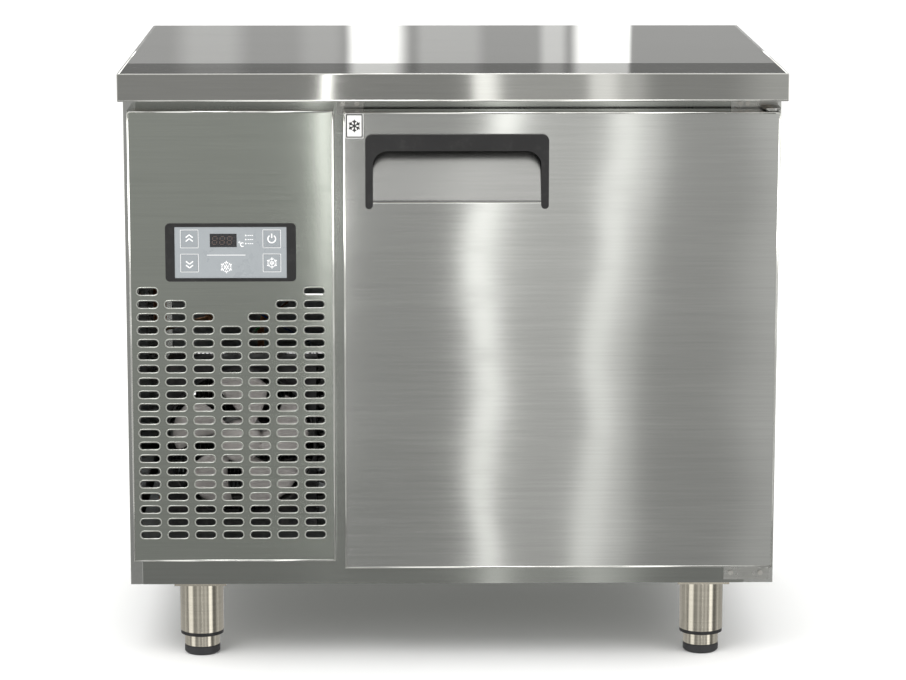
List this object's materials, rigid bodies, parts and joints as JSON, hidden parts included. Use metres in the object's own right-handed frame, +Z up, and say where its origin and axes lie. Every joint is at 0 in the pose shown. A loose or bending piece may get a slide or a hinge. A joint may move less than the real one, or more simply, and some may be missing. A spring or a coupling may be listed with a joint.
{
  "type": "under counter refrigerator",
  "caption": "Stainless steel under counter refrigerator with a flat worktop, slotted machine panel and one hinged door on four levelling legs.",
  "frame": {"origin": "on the floor below the centre of the worktop", "axes": "+X to the right along the front, +Y from the front to the back, +Z up"},
  "size_m": [0.9, 0.7, 0.825],
  "materials": {
    "brushed_steel": "horizontally brushed stainless steel",
    "formed_steel": "plain formed stainless steel sheet",
    "galvanised": "galvanised sheet, dull",
    "plywood": "raw board",
    "foam": "rigid polyurethane foam",
    "black_plastic": "fine textured black plastic",
    "white_plastic": "plain white plastic",
    "overlay_film": "silver printed film",
    "button_film": "silver printed film with white marks",
    "display_glass": "dark window",
    "circuit_board": "circuit board",
    "black_paint": "black enamel",
    "rubber_grey": "soft grey rubber",
    "rubber_black": "black rubber",
    "copper": "bare copper tube",
    "coil_metal": "dusty finned coil",
    "coil_clean": "aluminium fins",
    "fan_plastic": "pale fan plastic",
    "motor_metal": "motor casing",
    "wire_coating": "plastic coated steel wire",
    "chrome_leg": "polished stainless steel tube",
    "screw_metal": "stainless steel screws"
  },
  "bodies": {
    "cabinet": {"worktop": "brushed_steel", "worktop_core": "plywood", "side_panel_left": "brushed_steel", "side_panel_right": "brushed_steel", "back_panel": "galvanised", "top_panel": "formed_steel", "base_panel": "formed_steel", "mullion": "brushed_steel", "divider_panel": "galvanised", "inner_liner": "formed_steel", "insulation": "foam", "front_panel": "brushed_steel", "controller_frame": "black_plastic", "controller_board": "circuit_board", "controller_overlay": "overlay_film", "display_window": "display_glass", "unit_base": "galvanised", "compressor": "black_paint", "compressor_mounts": "rubber_black", "terminal_cover": "black_plastic", "condenser_coil": "coil_metal", "fan_shroud": "black_paint", "condenser_motor": "motor_metal", "filter_drier": "copper", "refrigerant_lines": "copper", "condensate_tray": "black_plastic", "drain_pipe": "white_plastic", "electrical_box": "white_plastic", "wiring": "white_plastic", "power_gland": "black_plastic", "evaporator_coil": "coil_clean", "evaporator_cover": "formed_steel", "evaporator_motor": "motor_metal", "shelf_pilasters": "formed_steel", "shelf_clips": "formed_steel", "hinge_top": "formed_steel", "hinge_bottom": "formed_steel", "hinge_blank": "formed_steel", "hinge_screws": "screw_metal", "leg_tubes": "chrome_leg", "leg_bushes": "black_plastic"},
    "door": {"door_skin": "brushed_steel", "door_liner": "formed_steel", "door_foam": "foam", "door_gasket": "rubber_grey", "door_bushes": "white_plastic", "handle_bezel": "black_plastic", "handle_pocket": "brushed_steel", "door_symbol": "white_plastic"},
    "condenser_fan_body": {"condenser_fan": "fan_plastic"},
    "evaporator_fan_body": {"evaporator_fan": "black_plastic"},
    "wire_shelf_body": {"wire_shelf": "wire_coating"},
    "button_1_body": {"button_1": "button_film"},
    "button_2_body": {"button_2": "button_film"},
    "button_3_body": {"button_3": "button_film"},
    "button_4_body": {"button_4": "button_film"},
    "foot_1_body": {"foot_1": "chrome_leg"},
    "foot_2_body": {"foot_2": "chrome_leg"},
    "foot_3_body": {"foot_3": "chrome_leg"},
    "foot_4_body": {"foot_4": "chrome_leg"}
  },
  "joints": [
    {"name": "door_hinge", "type": "hinge", "parent": "cabinet", "child": "door", "pos_m": [0.43, -0.325, 0.4575], "axis": [0, 0, 1], "range_deg": [0, 110]},
    {"name": "condenser_fan_spin", "type": "hinge", "parent": "cabinet", "child": "condenser_fan_body", "pos_m": [-0.295, -0.2, 0.296], "axis": [0, 1, 0], "continuous": true},
    {"name": "evaporator_fan_spin", "type": "hinge", "parent": "cabinet", "child": "evaporator_fan_body", "pos_m": [0.248, 0.26, 0.6375], "axis": [0, 1, 0], "continuous": true},
    {"name": "shelf_lift", "type": "slide", "parent": "cabinet", "child": "wire_shelf_body", "axis": [0, 0, 1], "range_m": [0, 0.04]},
    {"name": "button_1_press", "type": "slide", "parent": "cabinet", "child": "button_1_body", "axis": [0, 1, 0], "range_m": [0, 0.0005], "stiffness_N_per_m": 600, "springref_m": -0.0006},
    {"name": "button_2_press", "type": "slide", "parent": "cabinet", "child": "button_2_body", "axis": [0, 1, 0], "range_m": [0, 0.0005], "stiffness_N_per_m": 600, "springref_m": -0.0006},
    {"name": "button_3_press", "type": "slide", "parent": "cabinet", "child": "button_3_body", "axis": [0, 1, 0], "range_m": [0, 0.0005], "stiffness_N_per_m": 600, "springref_m": -0.0006},
    {"name": "button_4_press", "type": "slide", "parent": "cabinet", "child": "button_4_body", "axis": [0, 1, 0], "range_m": [0, 0.0005], "stiffness_N_per_m": 600, "springref_m": -0.0006},
    {"name": "foot_1_level", "type": "slide", "parent": "cabinet", "child": "foot_1_body", "axis": [0, 0, -1], "range_m": [0, 0.04]},
    {"name": "foot_2_level", "type": "slide", "parent": "cabinet", "child": "foot_2_body", "axis": [0, 0, -1], "range_m": [0, 0.04]},
    {"name": "foot_3_level", "type": "slide", "parent": "cabinet", "child": "foot_3_body", "axis": [0, 0, -1], "range_m": [0, 0.04]},
    {"name": "foot_4_level", "type": "slide", "parent": "cabinet", "child": "foot_4_body", "axis": [0, 0, -1], "range_m": [0, 0.04]}
  ]
}
